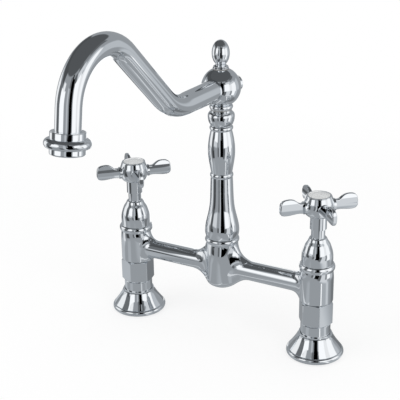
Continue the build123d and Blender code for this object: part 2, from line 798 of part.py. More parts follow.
def seat_seal():
    return ring(cartridge_skirt_r - 0.1, seat_seal_bore_r, seat_face, cartridge_foot)


def valve_disc(radius, low, port_angle):
    """A ceramic disc with two round ports."""
    high = low + disc_thickness
    disc = rod(radius, low, high)
    for turn in (port_angle, port_angle + 180):
        disc -= Rot(0, 0, turn) * Pos(disc_port_offset, 0, 0) * rod(disc_port_r, low - 1, high + 1)
    return disc


def fixed_disc():
    return valve_disc(cartridge_cavity_r - thread_gap, cartridge_foot, 0)


def moving_disc():
    disc = valve_disc(cartridge_cavity_r - free_gap, moving_disc_foot, 90)
    slot_width = stem_tang_width + 2 * thread_gap
    slot = Box(3 * cartridge_cavity_r, slot_width, disc_slot_depth + 1, align=stand)
    return disc - Pos(0, 0, moving_disc_top - disc_slot_depth) * slot


def valve_stem():
    tang_low = moving_disc_top - disc_slot_depth
    tang_top = moving_disc_top + stem_tang_height
    tang_box = Box(stem_tang_length, stem_tang_width, tang_top - tang_low, align=stand)
    stem = Pos(0, 0, tang_low) * tang_box
    stem += rod(stem_collar_r, tang_top, tang_top + stem_collar_thickness)
    stem += rod(stem_r, tang_top, stem_top)
    stem -= rod(handle_screw_r + thread_gap, stem_top - handle_screw_length, stem_top + 1)
    ring_z = cavity_roof + stem_ring_height
    half = 1.2 * stem_ring_section_r
    return stem - ring(stem_r + 1, stem_r - 2 * stem_ring_section_r, ring_z - half, ring_z + half)


def stem_o_ring():
    return o_ring(stem_r - stem_ring_section_r, stem_ring_section_r, cavity_roof + stem_ring_height)


def bonnet():
    bead_top = housing_top + bonnet_bead_height
    rise = bonnet_top - bead_top
    neck = bonnet_bead_r - 0.95
    mouth = sleeve_r + thread_gap + bonnet_top_edge
    dome = Spline(
        (bonnet_dome_r, bead_top + 0.22 * rise), (bonnet_dome_r - 0.55, bead_top + 0.46 * rise),
        (bonnet_dome_r - 1.8, bead_top + 0.62 * rise), (bonnet_dome_r - 3.5, bead_top + 0.78 * rise),
        (bonnet_dome_r - 5.8, bead_top + 0.92 * rise), (mouth, bonnet_top), tangents=[(0, 1), (-1, 0.25)])
    shell = turned(
        run((0, housing_top), (neck, housing_top)),
        bead(bonnet_bead_r, neck, housing_top, bead_top),
        run((neck, bead_top), (bonnet_dome_r, bead_top + 0.4), (bonnet_dome_r, bead_top + 0.22 * rise)),
        dome,
        run((mouth, bonnet_top), (0, bonnet_top), (0, housing_top)))
    shell -= rod(bonnet_cavity_r, housing_top - 1, housing_top + bonnet_cavity_height)
    shell -= rod(cartridge_neck_r + thread_gap, housing_top, sleeve_seat)
    return shell - rod(sleeve_r + thread_gap, housing_top, bonnet_top + 1)


def stem_sleeve():
    body = rod(sleeve_flange_r, neck_top, sleeve_seat)
    body += rod(sleeve_r, sleeve_seat, sleeve_top)
    return body - rod(sleeve_bore_r, neck_top - 1, sleeve_top + 1)


def spoke():
    """One flat paddle along +X: nearly straight below, rising in an S above, rounded at its end."""
    middle = handle_hub_foot + spoke_axis_rise
    low = middle - spoke_neck_height / 2
    high = middle + spoke_neck_height / 2
    paddle_low = middle + spoke_paddle_lift - spoke_paddle_height / 2
    paddle_high = middle + spoke_paddle_lift + spoke_paddle_height / 2
    peak = (spoke_reach - spoke_peak_inset, paddle_high)
    heel = (spoke_reach - spoke_heel_inset, paddle_low)
    tip = (spoke_reach, middle + spoke_paddle_lift - spoke_tip_drop)
    root = handle_hub_r / 2
    root_top = (root, high + spoke_flare)
    root_foot = (root, low - spoke_flare)
    top = Spline(root_top, (spoke_neck_at, high), peak, tangents=[(1, -0.1), (1, 0)])
    end = Spline(peak, tip, heel, tangents=[(1, 0), (-1, 0)])
    bottom = Spline(heel, (spoke_neck_at, low), root_foot, tangents=[(-1, 0), (-1, -0.1)])
    outline = Plane.XZ * make_face([top, end, bottom, run(root_foot, root_top)])
    blade = extrude(outline, spoke_thickness / 2, both=True)
    bulge = (spoke_thickness - spoke_edge_thickness) / 2
    lens_r = (spoke_paddle_height ** 2 / 4 + bulge ** 2) / (2 * bulge)
    lens = Pos(0, 0, middle + spoke_paddle_lift) * Rot(0, 90, 0) * rod(lens_r, 0, spoke_reach + 1)
    for side in (-1, 1):
        blade &= Pos(0, side * (lens_r - spoke_thickness / 2), 0) * lens
    rims = [e for e in blade.edges() if abs(e.center().Y) > 0.5 and e.center().X > root + 0.5]
    blade = blade.fillet(spoke_edge_round, rims)
    root_place = Pos(0, 0, middle) * Rot(0, 90, 0)
    return blade + root_place * rod(spoke_root_r, root, spoke_root_length)


def cross_handle():
    hub_low = handle_hub_foot
    body = turned(
        run((0, handle_foot), (handle_neck_r, handle_foot), (handle_neck_r, hub_low)),
        Spline((handle_neck_r, hub_low), (handle_hub_r - 1.9, hub_low + 2.2), (handle_hub_r, hub_low + 8.6),
               (handle_hub_r - 0.5, hub_low + 14.6), (handle_rim_r, handle_rim - 0.8),
               tangents=[(1, 0.05), (-0.3, 1)]),
        run((handle_rim_r, handle_rim - 0.8), (handle_rim_r - 0.5, handle_rim), (0, handle_rim),
            (0, handle_foot)))
    for index in range(spoke_count):
        body += Rot(0, 0, spoke_turn + 360 / spoke_count * index) * spoke()
    body -= rod(sleeve_r + free_gap, handle_foot - 1, sleeve_top + handle_recess_extra)
    body -= rod(stem_r + thread_gap, handle_foot, stem_top)
    body -= rod(handle_screw_r + thread_gap, stem_top - 1, web_top + 1)
    body -= rod(screw_pocket_r, web_top, handle_rim)
    return body - rod(button_r + button_gap, button_seat, handle_rim + 1)


def handle_screw():
    screw = rod(handle_screw_r, stem_top - handle_screw_length + 1, web_top)
    screw += rod(handle_screw_head_r, web_top, web_top + handle_screw_head_height)
    slot = Box(3 * handle_screw_head_r, handle_screw_slot_width, handle_screw_head_height, align=stand)
    return screw - Pos(0, 0, web_top + handle_screw_head_height / 2) * slot


def index_button():
    edge = button_seat + button_edge
    crown_r = (button_r ** 2 + button_crown ** 2) / (2 * button_crown)
    return turned(
        run((0, button_seat), (button_r, button_seat), (button_r, edge)),
        RadiusArc((button_r, edge), (0, edge + button_crown), -crown_r),
        run((0, edge + button_crown), (0, button_seat)))


# ---------------------------------------------------------------- write every sub-part
save("bridge_body", bridge_body())
save("lower_column", lower_column())
save("upper_column", upper_column())
save("riser_tube", riser_tube())
save("column_gasket", column_gasket())
save("swivel_post", swivel_post())
save("swivel_o_rings", swivel_o_rings())
save("bearing_washer", bearing_washer())
save("thrust_washer", thrust_washer())
save("finial", finial())
save("spout_hub", spout_hub())
save("rear_plug", rear_plug())
save("spout_tube", spout_tube())
save("spout_collar", outlet_place() * spout_collar())
save("aerator_gasket", outlet_place() * aerator_gasket())
save("aerator_housing", outlet_place() * aerator_housing())
save("aerator_insert", outlet_place() * aerator_insert())

leg_pieces = {
    "deck_flange": deck_flange(),
    "flange_seal": flange_seal(),
    "shank": shank(),
    "union_gasket": union_gasket(),
    "union_tail": union_tail(),
    "rubber_washer": rubber_washer(),
    "metal_washer": metal_washer(),
    "lock_nut": lock_nut(),
    "cartridge_body": cartridge_body(),
    "cartridge_o_ring": cartridge_o_ring(),
    "seat_seal": seat_seal(),
    "fixed_disc": fixed_disc(),
    "bonnet": bonnet(),
    "stem_sleeve": stem_sleeve(),
    "moving_disc": moving_disc(),
    "valve_stem": valve_stem(),
    "stem_o_ring": stem_o_ring(),
    "cross_handle": cross_handle(),
    "handle_screw": handle_screw(),
    "index_button": index_button(),
}
for side_name, side_x, nut_turn in (("hot", -leg_x, hot_nut_turn), ("cold", leg_x, cold_nut_turn)):
    save(f"{side_name}_union_nut", Pos(side_x, 0, 0) * union_nut(nut_turn))
    for piece_name, piece in leg_pieces.items():
        save(f"{side_name}_{piece_name}", Pos(side_x, 0, 0) * piece)
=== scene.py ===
import json
import math

import bmesh
import bpy
from mathutils import Matrix, Vector
from mathutils.interpolate import poly_3d_calc


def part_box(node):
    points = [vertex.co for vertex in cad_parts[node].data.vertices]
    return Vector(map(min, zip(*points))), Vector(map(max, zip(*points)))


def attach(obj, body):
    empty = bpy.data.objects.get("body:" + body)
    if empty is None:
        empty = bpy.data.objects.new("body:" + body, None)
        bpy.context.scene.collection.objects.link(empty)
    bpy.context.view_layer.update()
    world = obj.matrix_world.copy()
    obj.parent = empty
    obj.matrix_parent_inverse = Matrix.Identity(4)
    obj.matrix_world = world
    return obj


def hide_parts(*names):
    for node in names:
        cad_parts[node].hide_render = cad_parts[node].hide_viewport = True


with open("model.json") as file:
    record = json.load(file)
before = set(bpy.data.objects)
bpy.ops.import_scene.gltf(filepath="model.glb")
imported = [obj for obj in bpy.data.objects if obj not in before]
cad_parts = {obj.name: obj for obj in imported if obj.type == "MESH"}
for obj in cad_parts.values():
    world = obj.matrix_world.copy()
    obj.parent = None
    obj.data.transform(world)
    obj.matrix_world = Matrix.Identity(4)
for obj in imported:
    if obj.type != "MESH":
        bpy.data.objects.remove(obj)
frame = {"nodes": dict(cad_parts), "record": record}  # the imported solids, in metres, the deck at z = 0
nodes = frame["nodes"]
bodies = frame["record"]["behaviour"]["bodies"]
bodyOf = {piece: body for body, pieces in bodies.items() for piece in pieces}
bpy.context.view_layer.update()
legs = {}  # where each leg stands, along x
for side in ("hot", "cold"):
    low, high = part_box(side + "_shank")
    legs[side] = (low[0] + high[0]) / 2
print("stage: frame loaded,", len(nodes), "solids")


# shader maths: a Wire is one socket, and sums on wires add their Math nodes
class Wire:
    def __init__(self, tree, socket=None):
        self.tree = tree
        self.socket = socket

    def add(self, kind, settings=None, values=None, out=0):  # any node, with its settings and sockets
        node = self.tree.nodes.new(kind)
        for name, value in (settings or {}).items():
            setattr(node, name, value)
        for name, value in (values or {}).items():
            socket = node.inputs[name]
            if isinstance(value, Wire):
                self.tree.links.new(value.socket, socket)
            elif hasattr(socket.default_value, "__len__") and len(value) < len(socket.default_value):
                socket.default_value = (*value, 1.0)  # a colour's alpha
            else:
                socket.default_value = value
        return Wire(self.tree, node.outputs[out] if len(node.outputs) else None)

    def maths(self, operation, *values):
        return self.add("ShaderNodeMath", {"operation": operation}, dict(enumerate(values)))

    def mixed(self, factor, first, second, how="MIX"):
        settings = {"data_type": "RGBA", "blend_type": how}
        return self.add("ShaderNodeMix", settings, {0: factor, 6: first, 7: second}, out=2)

    def vector(self, operation, first, second, out=0):
        settings = {"operation": operation}
        return self.add("ShaderNodeVectorMath", settings, {0: first, 1: second}, out)

    def step(self, low, high):  # 0 below low, 1 above high, smooth between
        settings = {"interpolation_type": "SMOOTHSTEP"}
        return self.add("ShaderNodeMapRange", settings, {"Value": self, "From Min": low, "From Max": high})

    def band(self, low, high, edge):  # 1 from low to high, 0 outside, each edge soft
        return self.step(low - edge, low + edge) * (1 - self.step(high - edge, high + edge))

    def __add__(self, other):
        return self.maths("ADD", self, other)

    def __radd__(self, other):
        return self.maths("ADD", other, self)

    def __sub__(self, other):
        return self.maths("SUBTRACT", self, other)

    def __rsub__(self, other):
        return self.maths("SUBTRACT", other, self)

    def __mul__(self, other):
        return self.maths("MULTIPLY", self, other)

    def __rmul__(self, other):
        return self.maths("MULTIPLY", other, self)


def cleared(tree):
    tree.nodes.clear()
    return Wire(tree)


def noise(root, place, scale, detail=3.0, roughness=0.5, distortion=0.0):
    values = {"Vector": place, "Scale": scale, "Detail": detail, "Roughness": roughness,
              "Distortion": distortion}
    return root.add("ShaderNodeTexNoise", None, values)


def startMaterial(name):
    material = bpy.data.materials.new(name)
    material.use_nodes = True
    root = cleared(material.node_tree)
    place = root.add("ShaderNodeTexCoord", out="Object")
    return material, root, place


def meshFrom(name, shape):
    mesh = bpy.data.meshes.new(name)
    shape.to_mesh(mesh)
    shape.free()
    return mesh


def inScene(name, data):
    thing = bpy.data.objects.new(name, data)
    bpy.context.scene.collection.objects.link(thing)
    return thing


def ringRow(radius, height, around):
    turns = [2 * math.pi * side / around for side in range(around)]
    return [(radius * math.cos(turn), radius * math.sin(turn), height) for turn in turns]


# camera: the photograph's viewing angle
cameraFacts = {
    "azimuth": 30.648, "elevation": 21.213, "roll": 0.962,  # degrees
    "aim": (0.0, -0.040, 0.150), "distance": 0.92903,
    "slide": (0.000768, -0.002713),  # how far the aim lies right of and above the picture's middle
    "focal": 997.844,  # in pixels of a 400 pixel frame
    "frameWidth": 400, "sensor": 36.0,
}


def cameraAxes():
    azimuth = math.radians(cameraFacts["azimuth"])
    elevation = math.radians(cameraFacts["elevation"])
    flat = math.cos(elevation)
    back = Vector((math.sin(azimuth) * flat, -math.cos(azimuth) * flat, math.sin(elevation)))
    right = Vector((math.cos(azimuth), math.sin(azimuth), 0))
    return right, back.cross(right), back


def placeCamera():
    right, up, back = cameraAxes()
    slideX, slideY = cameraFacts["slide"]
    place = Vector(cameraFacts["aim"]) - slideX * right - slideY * up
    place += cameraFacts["distance"] * back
    roll = math.radians(cameraFacts["roll"])
    rolledRight = math.cos(roll) * right - math.sin(roll) * up
    rolledUp = math.sin(roll) * right + math.cos(roll) * up
    turn = Matrix([[axis[row] for axis in (rolledRight, rolledUp, back)] for row in range(3)])
    data = bpy.data.cameras.new("photoCamera")
    data.sensor_width = cameraFacts["sensor"]
    data.lens = cameraFacts["focal"] * cameraFacts["sensor"] / cameraFacts["frameWidth"]
    camera = inScene("photoCamera", data)
    camera.matrix_world = Matrix.Translation(place) @ turn.to_4x4()
    bpy.context.scene.camera = camera


placeCamera()
bpy.context.scene.view_settings.view_transform = "Standard"
print("stage: camera placed")

# light level: what is written as a shade comes back from the chrome as that shade
lightFacts = {
    "plain": 0.62, "chromeShare": 0.83,
    "cool": (0.93, 0.975, 1.02), "coolUpTo": (0.5, 1.0),  # dim light is a little cool, bright light white
}


def linear(shade):  # a screen shade as light, by the sRGB curve
    return ((shade + 0.055) / 1.055) ** 2.4 if shade > 0.04 else shade / 12.92


def rayKinds(tree):
    path = tree.nodes.new("ShaderNodeLightPath")
    kinds = ("Is Camera Ray", "Is Glossy Ray", "Is Transmission Ray")
    return (Wire(tree, path.outputs[kind]) for kind in kinds)


def buildWorld():  # white where it is seen, plain grey as light on dull surfaces
    world = bpy.data.worlds.new("studio")
    world.use_nodes = True
    root = cleared(world.node_tree)
    camera, glossy, passing = rayKinds(world.node_tree)
    white = root.maths("MAXIMUM", camera, root.maths("MAXIMUM", glossy, passing))
    plain = lightFacts["plain"]
    colour = root.mixed(white, (plain, plain, plain), (1, 1, 1))
    lit = root.add("ShaderNodeBackground", None, {"Color": colour, "Strength": 1.0})
    root.add("ShaderNodeOutputWorld", None, {"Surface": lit})
    bpy.context.scene.world = world


# tent: a can round the object that only the metal sees, painted with light and shade: white boxes, grey
# walls, black gaps and pools of light on its floor
tentFacts = {
    "facing": cameraFacts["azimuth"],  # degrees, the direction that the panels count from
    "middle": (0.0, -0.05), "radius": 0.70, "height": 2.4, "floor": -0.0001, "sides": 96,
    "floorShade": 0.60, "wallShade": 0.59, "wallFrom": (-0.40, -0.32),
    "topShade": 0.33, "topFrom": (0.87, 0.96),
    "softTurn": 1.1, "softReach": 0.012,
    "backdropTurn": (160, 166), "backdropReach": (-0.40, 0.22, 0.03), "backdropLight": 0.99,
}
# from and to round the tent (degrees), from and to along it (metres up the wall, below 0 on the floor),
# shade, softness
tentPanels = [
    ("farLeftFloor", -121, -102, -0.42, 0.04, 0.86, 2),
    ("farLeftFloorTail", -102, -93, -0.42, 0.04, 0.57, 2),
    ("rearLeft", -158, -130, -0.31, 0.10, 0.53, 3),
    ("rearLeftFloor", -157, -131, -0.31, -0.13, 0.34, 2),
    ("rearLeftUpper", -160, -133, 0.45, 0.62, 0.33, 3),
    ("rearLeftTop", -160, -64, 0.60, 0.96, 0.30, 2),
    ("farLeftBox", -124, -94, 0.05, 0.50, 0.93, 2),
    ("farLeftBoxTop", -128, -93, 0.50, 0.60, 0.64, 2),
    ("leftDim", -93, -66, -0.33, 0.62, 0.42, 2),
    ("leftDimCore", -86, -65, -0.34, 0.02, 0.26, 2),
    ("leftDimWall", -85, -76, 0.0, 0.22, 0.31, 2),
    ("leftBoxSkirt", -72, -40, 0.09, 0.20, 0.82, 2),
    ("leftBox", -66, -34.5, 0.19, 0.56, 0.985, 1),
    ("leftBoxTop", -58, -41, 0.54, 0.70, 0.92, 2),
    ("leftGap", -34, -21, -0.31, 0.10, 0.40, 2),
    ("leftGlow", -19, -8, -0.31, 0.62, 0.73, 1.5),
    ("slotSheen", -9, -0.5, 0.22, 0.62, 0.53, 1.2),
    ("slotSheenTop", -12, -0.5, 0.60, 0.86, 0.42, 1.5),
    ("slotEdge", 16, 32, -0.37, 0.08, 0.38, 2),
    ("slotEdgeTop", 15, 29, 0.52, 0.80, 0.38, 2),
    ("darkSlotFoot", -9.5, 17, -0.31, 0.24, 0.0, 0.8),
    ("darkSlot", -2, 17, 0.20, 0.74, 0.0, 0.8),
    ("darkSlotTop", -0.5, 8.5, 0.72, 0.90, 0.02, 1.2),
    ("rightFloor", 33, 70, -0.40, 0.09, 0.82, 2.5),
    ("rightFloorLine", 57, 67, -0.31, 0.12, 0.52, 1.5),
    ("sideFloor", 69, 90, -0.31, 0.10, 0.985, 2),
    ("sideFloorTail", 89, 106, -0.36, 0.10, 0.74, 3),
    ("rightTop", 32, 112, 0.76, 0.96, 0.38, 3),
    ("rightTopGlow", 50, 70, 0.74, 0.92, 0.52, 3),
    ("rightBoxUpper", 32, 62, 0.56, 0.74, 0.81, 2),
    ("rightBoxFold", 51, 68, 0.10, 0.52, 0.91, 2),
    ("sideBoxUpper", 60, 93, 0.48, 0.62, 0.78, 2),
    ("rightBox", 22.5, 52, 0.09, 0.58, 0.985, 1),
    ("sideBox", 67, 96, 0.05, 0.50, 0.97, 1.5),
    ("sideBoxTail", 95, 122, 0.08, 0.52, 0.73, 4),
]
# fans of light and shade on the floor round each leg: leg, from and to (degrees), shade
floorFans = [
    ("hot", -180, -156, 0.45), ("hot", -148, -98, 0.71), ("hot", -66, -43, 0.67), ("hot", 20, 34, 0.665),
    ("hot", 55, 68, 0.665), ("hot", 112, 152, 0.47),
    ("cold", -172, -150, 0.56), ("cold", -128, -112, 0.64), ("cold", -76, -52, 0.67),
    ("cold", 26, 58, 0.67), ("cold", 56, 74, 0.78), ("cold", 88, 104, 0.55), ("cold", 104, 152, 0.46),
]
fanFacts = {"soft": 4.5, "fadeOut": (0.16, 0.34), "ownHalf": (-0.06, 0.03)}


def degrees(root, across, ahead):
    return root.maths("ARCTAN2", across, ahead) * (180 / math.pi)


def length(root, across, along):
    return root.maths("SQRT", across * across + along * along)


def overlaid(light, mask, level):  # the level in place of the light where the mask is 1
    return light + mask * (level / lightFacts["chromeShare"] - light)


def paintFloor(root, across, along):  # the floor's grey as the metal sees it, with fans of painted light and the legs' painted shadows
    light = linear(tentFacts["floorShade"]) / lightFacts["chromeShare"]
    for leg, west, east, shade in floorFans:
        side = across - legs[leg]
        turn = degrees(root, side, 0 - along) - tentFacts["facing"]
        turn = turn - root.maths("FLOOR", (turn + 180) * (1 / 360)) * 360  # from -180 to 180 again
        near = 1 - length(root, side, along).step(*fanFacts["fadeOut"])
        own = (across * math.copysign(1, legs[leg])).step(*fanFacts["ownHalf"])
        light = overlaid(light, turn.band(west, east, fanFacts["soft"]) * near * own, linear(shade))
    return light


def paintTent(root, place):
    facts = tentFacts
    facing = math.radians(facts["facing"])
    across, along, height = (root.add("ShaderNodeSeparateXYZ", None, {"Vector": place}, axis)
                             for axis in "XYZ")
    # paper: the floor's grey with the fans' painted light and leg shadows, as the metal sees it
    paper = paintFloor(root, across, along)
    across = across - facts["middle"][0]
    along = along - facts["middle"][1]
    ahead = across * math.sin(facing) - along * math.cos(facing)
    side = across * math.cos(facing) + along * math.sin(facing)
    turn = degrees(root, side, ahead)
    reach = length(root, across, along) - facts["radius"] + height
    light = overlaid(paper, reach.step(*facts["wallFrom"]), linear(facts["wallShade"]))
    light = overlaid(light, reach.step(*facts["topFrom"]), linear(facts["topShade"]))
    for name, west, east, low, high, shade, soft in tentPanels:
        mask = turn.band(west, east, facts["softTurn"] * soft)
        light = overlaid(light, mask * reach.band(low, high, facts["softReach"] * soft), linear(shade))
    behind = root.maths("ABSOLUTE", turn).step(*facts["backdropTurn"])
    backdrop = behind * reach.band(*facts["backdropReach"])  # white, curved up from the floor
    return overlaid(light, backdrop, facts["backdropLight"])


def glow(material, root, light):
    tint = root.mixed(light.step(*lightFacts["coolUpTo"]), lightFacts["cool"], (1, 1, 1))
    colour = root.mixed(1.0, light, tint, "MULTIPLY")
    lit = root.add("ShaderNodeEmission", None, {"Color": colour, "Strength": 1.0})
    root.add("ShaderNodeOutputMaterial", None, {"Surface": lit})
    material.cycles.emission_sampling = "NONE"


def metalOnly(name, mesh):  # a studio board that neither the camera nor the dull surfaces see
    board = inScene(name, mesh)
    board.visible_camera = False
    board.visible_diffuse = False
    board.visible_shadow = False


def buildTent():
    (middleX, middleY), sides = tentFacts["middle"], tentFacts["sides"]
    can = bmesh.new()
    rings = []
    for height in (tentFacts["floor"], tentFacts["height"]):
        row = ringRow(tentFacts["radius"], height, sides)
        rings.append([can.verts.new((middleX + x, middleY + y, z)) for x, y, z in row])
        can.faces.new(rings[-1])
    for side in range(sides):
        after = (side + 1) % sides
        can.faces.new((rings[0][side], rings[0][after], rings[1][after], rings[1][side]))
    mesh = meshFrom("tent", can)
    material, root, place = startMaterial("tentPaintedLight")
    glow(material, root, paintTent(root, place))
    mesh.materials.append(material)
    metalOnly("tent", mesh)


# glints: a glowing strip on the floor beside each leg that only the metal sees, a painted highlight that
# shows as a streak in each leg's chrome
glintFacts = {
    "turn": 24.0, "half": 3.4, "from": 0.030, "to": 0.20, "height": 0.00005,
    "shades": {"hot": 0.80, "cold": 0.97}, "grain": (30.0, 2.0), "grainLight": 0.08,
}


def buildGlints():
    facts = glintFacts
    for leg, legX in legs.items():
        strip = bmesh.new()
        corners = []
        for reach, lean in ((facts["from"], -1), (facts["to"], -1), (facts["to"], 1), (facts["from"], 1)):
            turn = math.radians(tentFacts["facing"] + facts["turn"] + lean * facts["half"])
            corner = (legX + reach * math.sin(turn), -reach * math.cos(turn), facts["height"])
            corners.append(strip.verts.new(corner))
        strip.faces.new(corners)
        mesh = meshFrom(leg + "Glint", strip)
        material, root, place = startMaterial(leg + "GlintPaintedLight")
        # the strip's painted light, with a faint grain
        grain = noise(root, place, *facts["grain"]) * facts["grainLight"]
        glow(material, root, grain + linear(facts["shades"][leg]) / lightFacts["chromeShare"])
        mesh.materials.append(material)
        metalOnly(leg + "Glint", mesh)


# floor: white paper that keeps the object's shadow near it
floorFacts = {
    "size": 6.0, "squares": 8, "height": -0.0002, "paper": (0.98, 0.98, 0.98),
    "shadowShare": 0.26, "shadowReach": (0.25, 0.85),
}


def buildFloor():
    paper = bmesh.new()
    squares = floorFacts["squares"]
    bmesh.ops.create_grid(paper, x_segments=squares, y_segments=squares, size=floorFacts["size"] / 2,
                          matrix=Matrix.Translation((0, 0, floorFacts["height"])))
    mesh = meshFrom("floor", paper)
    floor = inScene("floor", mesh)
    material, root, place = startMaterial("floorPaper")
    camera, glossy, passing = rayKinds(material.node_tree)
    far = root.vector("LENGTH", place, (0, 0, 0), out=1).step(*floorFacts["shadowReach"])
    share = floorFacts["shadowShare"] * (1 - far)
    white = root.add("ShaderNodeEmission", None, {"Color": (1, 1, 1), "Strength": 1.0})
    dull = root.add("ShaderNodeBsdfDiffuse", None, {"Color": floorFacts["paper"]})
    seen = root.add("ShaderNodeMixShader", None, {0: camera * (1 - share), 1: dull, 2: white})
    clear = root.add("ShaderNodeBsdfTransparent")
    mirrored = root.maths("MAXIMUM", glossy, passing)
    surface = root.add("ShaderNodeMixShader", None, {0: mirrored, 1: seen, 2: clear})
    root.add("ShaderNodeOutputMaterial", None, {"Surface": surface})
    mesh.materials.append(material)


# lamps: plain and soft, over the camera's left and right and overhead
lampFacts = {
    "leftLamp": {"place": (-0.9, -1.1, 1.5), "size": 1.2, "watts": 9.0},
    "rightLamp": {"place": (1.3, -0.6, 1.3), "size": 1.0, "watts": 6.0},
    "topLamp": {"place": (0.1, 0.2, 1.9), "size": 1.6, "watts": 7.0},
}
lampAim = (0.0, 0.0, 0.12)


def buildLamps():
    for name, facts in lampFacts.items():
        data = bpy.data.lights.new(name, "AREA")
        data.size = facts["size"]
        data.energy = facts["watts"]
        lamp = inScene(name, data)
        back = Vector(facts["place"]) - Vector(lampAim)
        turn = back.to_track_quat("Z", "Y").to_matrix().to_4x4()
        lamp.matrix_world = Matrix.Translation(facts["place"]) @ turn
        lamp.visible_glossy = False  # the metal sees the studio's panels instead


buildWorld()
buildFloor()
buildTent()
buildGlints()
buildLamps()
print("stage: studio built")


# finishes: a noise is written as its scale, detail, roughness and distortion, a name that ends in From
# holds where a mask starts and where it is full, and heights are in metres
def endMaterial(root, values, height):
    bump = root.add("ShaderNodeBump", None, {"Strength": 1.0, "Distance": 1.0, "Height": height})
    shader = root.add("ShaderNodeBsdfPrincipled", None, {**values, "Normal": bump})
    root.add("ShaderNodeOutputMaterial", None, {"Surface": shader})


chromeFacts = {
    "tint": (0.80, 0.825, 0.85), "dullTint": (0.74, 0.76, 0.775), "roughness": 0.024,
    "cloud": (22.0, 4.0, 0.6), "smudgeCloudFrom": (0.45, 0.7), "spotCloudFrom": (0.55, 0.75),
    "smudge": (70.0, 5.0, 0.65, 0.6), "smudgeFrom": (0.52, 0.74),
    "smudgeRoughness": 0.04, "smudgeTint": 0.5,
    "spotScale": 210.0, "spotSize": (0.10, 0.22), "spotRoughness": 0.10, "spotTint": 0.4,
    "line": (1.0, 2.0), "lineRoughness": 0.012, "lineHeight": 0.0000004,
    "wave": (42.0, 2.0), "waveHeight": 0.000012,
}


def chromeMaterial(name, seed, lines):
    facts = chromeFacts
    material, root, place = startMaterial(name)
    here = root.vector("ADD", place, (seed, seed * 0.7, -seed))
    cloud = noise(root, here, *facts["cloud"])
    smudge = noise(root, here, *facts["smudge"]).step(*facts["smudgeFrom"])
    smudge = smudge * cloud.step(*facts["smudgeCloudFrom"])
    line = noise(root, root.vector("MULTIPLY", here, lines), *facts["line"])
    spots = root.add("ShaderNodeTexVoronoi", None, {"Vector": here, "Scale": facts["spotScale"]})
    dried = (1 - spots.step(*facts["spotSize"])) * cloud.step(*facts["spotCloudFrom"])
    roughness = facts["roughness"] + smudge * facts["smudgeRoughness"] + dried * facts["spotRoughness"]
    roughness = roughness + line * facts["lineRoughness"]
    dull = smudge * facts["smudgeTint"] + dried * facts["spotTint"]
    colour = root.mixed(dull, facts["tint"], facts["dullTint"])
    wave = noise(root, here, *facts["wave"])
    height = wave * facts["waveHeight"] + line * facts["lineHeight"]
    endMaterial(root, {"Base Color": colour, "Metallic": 1.0, "Roughness": roughness}, height)
    return material


brassFacts = {
    "bright": (0.78, 0.60, 0.30), "deep": (0.70, 0.53, 0.25), "tarnished": (0.50, 0.36, 0.17),
    "roughness": 0.20,
    "lathe": (1.0, 3.0, 0.6), "latheLines": (14, 14, 2100), "latheRoughness": 0.12, "latheHeight": 0.000002,
    "tarnish": (55.0, 5.0, 0.6, 0.4), "tarnishFrom": (0.42, 0.72), "tarnishRoughness": 0.16,
    "tarnishTint": 0.55,
    "plateEdge": (160.0, 3.0), "plateWander": 0.0012, "plateSoft": 0.0004, "plateRoughness": 0.034,
}


def brassMaterial(name, seed, plated=None):
    facts = brassFacts
    material, root, place = startMaterial(name)
    here = root.vector("ADD", place, (seed, seed, seed))
    lathe = noise(root, root.vector("MULTIPLY", here, facts["latheLines"]), *facts["lathe"])
    tarnish = noise(root, here, *facts["tarnish"]).step(*facts["tarnishFrom"])
    colour = root.mixed(lathe, facts["bright"], facts["deep"])
    colour = root.mixed(tarnish * facts["tarnishTint"], colour, facts["tarnished"])
    roughness = facts["roughness"] + lathe * facts["latheRoughness"] + tarnish * facts["tarnishRoughness"]
    if plated:  # chrome above this height, metres
        height = root.add("ShaderNodeSeparateXYZ", None, {"Vector": place}, out="Z")
        edge = height + (noise(root, here, *facts["plateEdge"]) - 0.5) * facts["plateWander"]
        chromed = edge.step(plated - facts["plateSoft"], plated + facts["plateSoft"])
        colour = root.mixed(chromed, colour, chromeFacts["tint"])
        roughness = roughness + chromed * (facts["plateRoughness"] - roughness)
    values = {"Base Color": colour, "Metallic": 1.0, "Roughness": roughness}
    endMaterial(root, values, lathe * facts["latheHeight"])
    return material


steelFacts = {
    "light": (0.66, 0.66, 0.65), "dark": (0.52, 0.52, 0.52), "stained": (0.42, 0.40, 0.37),
    "roughness": 0.24,
    "rolled": (1.0, 3.0, 0.6), "rolledLines": (1900, 60, 60), "rolledRoughness": 0.14,
    "rolledHeight": 0.000003,
    "stain": (90.0, 4.0, 0.6), "stainFrom": (0.5, 0.75), "stainTint": 0.4,
}


def steelMaterial(name):
    facts = steelFacts
    material, root, place = startMaterial(name)
    rolled = noise(root, root.vector("MULTIPLY", place, facts["rolledLines"]), *facts["rolled"])
    stain = noise(root, place, *facts["stain"]).step(*facts["stainFrom"])
    colour = root.mixed(rolled, facts["light"], facts["dark"])
    colour = root.mixed(stain * facts["stainTint"], colour, facts["stained"])
    roughness = facts["roughness"] + rolled * facts["rolledRoughness"]
    values = {"Base Color": colour, "Metallic": 1.0, "Roughness": roughness}
    endMaterial(root, values, rolled * facts["rolledHeight"])
    return material


softFacts = {
    "grain": (4.0, 0.6), "grainRoughness": 0.12,  # the grain's scale and height are each finish's own
    "cloudShare": 1 / 14, "cloudFrom": (0.35, 0.7),
}


def softMaterial(name, light, dark, roughness, grainScale, grainHeight, coat=0.0):
    facts = softFacts
    material, root, place = startMaterial(name)
    grain = noise(root, place, grainScale, *facts["grain"])
    cloud = noise(root, place, grainScale * facts["cloudShare"])
    colour = root.mixed(cloud.step(*facts["cloudFrom"]), light, dark)
    values = {"Base Color": colour, "Roughness": roughness + grain * facts["grainRoughness"],
              "Coat Weight": coat}
    endMaterial(root, values, grain * grainHeight)
    return material


